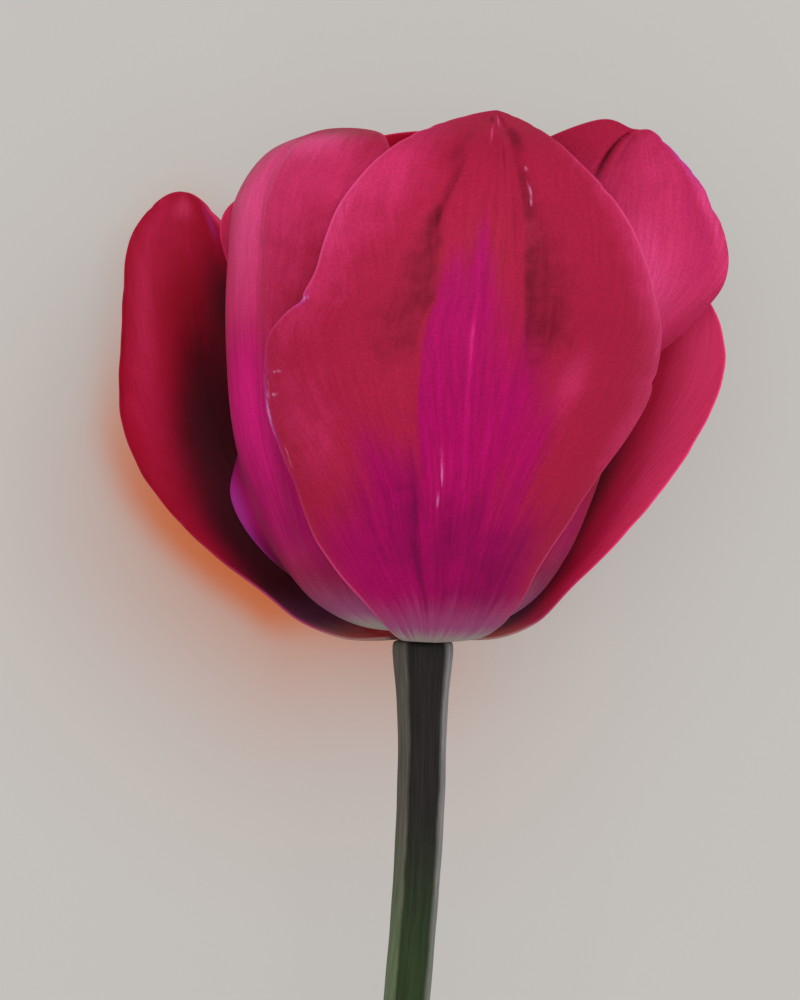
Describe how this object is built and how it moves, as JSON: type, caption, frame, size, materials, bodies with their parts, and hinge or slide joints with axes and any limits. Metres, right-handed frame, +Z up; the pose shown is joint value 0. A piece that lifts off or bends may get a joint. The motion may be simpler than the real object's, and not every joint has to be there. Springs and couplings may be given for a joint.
{
  "type": "cut tulip",
  "caption": "Single tulip bloom with overlapping crimson and magenta petals on a bare, slightly bowed stem, cut and lying on its side.",
  "frame": {"origin": "on the surface that the flower lies on, midway under its bounding box", "axes": "+Z up from the surface, +Y along the bloom's axis towards its open mouth, +X to the right as seen from above with the mouth up"},
  "size_m": [0.0738, 0.2131, 0.057],
  "materials": {
    "petal_magenta": "thin fresh petal, satin, finely veined, crimson with a magenta flame",
    "petal_crimson": "thin fresh petal, satin, finely veined, crimson",
    "stem": "waxy plant skin, dark olive brown turning green",
    "pistil": "smooth pale green ovary with a downy yellowish stigma",
    "stamens": "powdery dark purple pollen sacs"
  },
  "bodies": {
    "root": {"petal_outer_front": "petal_magenta", "petal_inner_right": "petal_magenta", "petal_inner_left": "petal_crimson", "petal_inner_back": "petal_crimson", "petal_outer_left": "petal_crimson", "petal_outer_right": "petal_crimson", "stem": "stem", "pistil": "pistil", "stamens": "stamens"}
  },
  "joints": []
}
